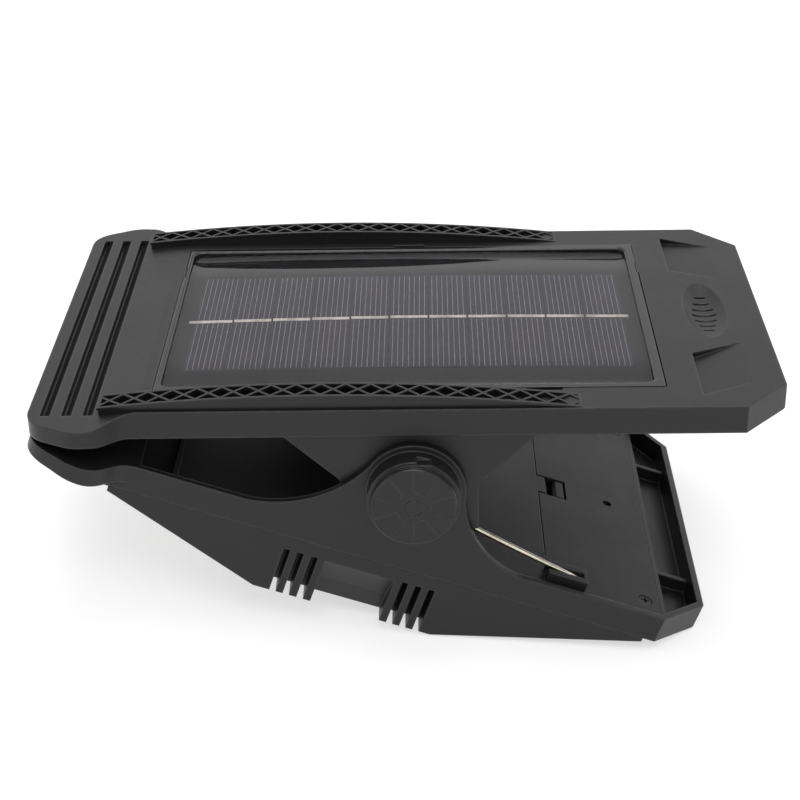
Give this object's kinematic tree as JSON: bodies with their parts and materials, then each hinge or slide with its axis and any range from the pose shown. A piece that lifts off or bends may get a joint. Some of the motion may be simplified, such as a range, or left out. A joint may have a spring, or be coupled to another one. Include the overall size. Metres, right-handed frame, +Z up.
{
  "type": "solar clamp-on lamp",
  "caption": "Spring clamp lamp: the upper jaw carries a solar panel, the lower jaw a battery bay and a wedge lamp housing with two lens windows and a motion sensor.",
  "frame": {"origin": "centre of the footprint of the bounding box, on the surface that the clamp stands on", "axes": "+X from the mouth to the handles, +Y across the jaws, +Z up"},
  "size_m": [0.209, 0.1386, 0.0839],
  "materials": {
    "abs_black": "fine moulded satin black",
    "gloss_black": "polished black",
    "panel_laminate": "clear coat over black backing",
    "clear_resin": "poured clear resin, glossy",
    "silicon": "blue-black cells with fine silver fingers",
    "tinned_ribbon": "tinned copper ribbon",
    "board_green": "solder mask",
    "board_white": "white solder mask",
    "component_black": "moulded component",
    "screw_black": "black oxide",
    "rubber_black": "soft matt",
    "rubber_grey": "soft matt",
    "steel": "drawn steel",
    "spring_wire": "drawn nickel-tone spring wire",
    "lens_clear": "frosted clear",
    "led_phosphor": "phosphor",
    "dome_white": "milky faceted dome",
    "battery_wrap": "shrink wrap",
    "nickel": "nickel plated"
  },
  "bodies": {
    "lower_jaw": {"lower_jaw_shell": "abs_black", "lamp_housing": "abs_black", "lower_grip_pad": "rubber_black", "hub_cap_far": "abs_black", "hub_cap_near": "abs_black", "pivot_axle": "steel", "axle_retaining_clips": "steel", "torsion_spring_far": "spring_wire", "torsion_spring_near": "spring_wire", "inner_cover_plate": "abs_black", "cover_screws": "screw_black", "housing_gasket": "rubber_grey", "housing_screws": "screw_black", "lens_front": "lens_clear", "lens_rear": "lens_clear", "led_board_front": "board_white", "led_board_rear": "board_white", "leds_front": "led_phosphor", "leds_rear": "led_phosphor", "main_circuit_board": "board_green", "board_components": "component_black", "pir_sensor": "steel", "pir_dome": "dome_white", "tact_switch": "component_black", "battery_cell": "battery_wrap", "battery_contacts": "nickel", "battery_cradle": "abs_black"},
    "upper_jaw": {"upper_jaw_shell": "abs_black", "lattice_strap_far": "abs_black", "lattice_strap_near": "abs_black", "panel_tray": "gloss_black", "solar_panel_laminate": "panel_laminate", "panel_clear_resin": "clear_resin", "solar_cells": "silicon", "busbar_ribbons": "tinned_ribbon", "panel_terminal_board": "board_green", "blocking_diode": "component_black", "upper_inner_cover": "abs_black", "upper_cover_screws": "screw_black", "upper_grip_pad": "rubber_black"},
    "battery_door": {"battery_door": "abs_black"},
    "mode_button": {"mode_button": "rubber_black"}
  },
  "joints": [
    {"name": "jaw_hinge", "type": "hinge", "parent": "lower_jaw", "child": "upper_jaw", "pos_m": [0.00299, 0, 0.04826], "axis": [0, 1, 0], "range_deg": [0, 28], "stiffness_Nm_per_rad": 0.5, "springref_deg": -68.75, "deforming": ["torsion_spring_far", "torsion_spring_near"]},
    {"name": "battery_door_lift", "type": "slide", "parent": "lower_jaw", "child": "battery_door", "axis": [0.2428, 0, 0.9701], "range_m": [0, 0.012]},
    {"name": "mode_button_press", "type": "slide", "parent": "lower_jaw", "child": "mode_button", "axis": [0.2428, 0, 0.9701], "range_m": [0, 0.0008], "stiffness_N_per_m": 600, "springref_m": -0.001}
  ]
}
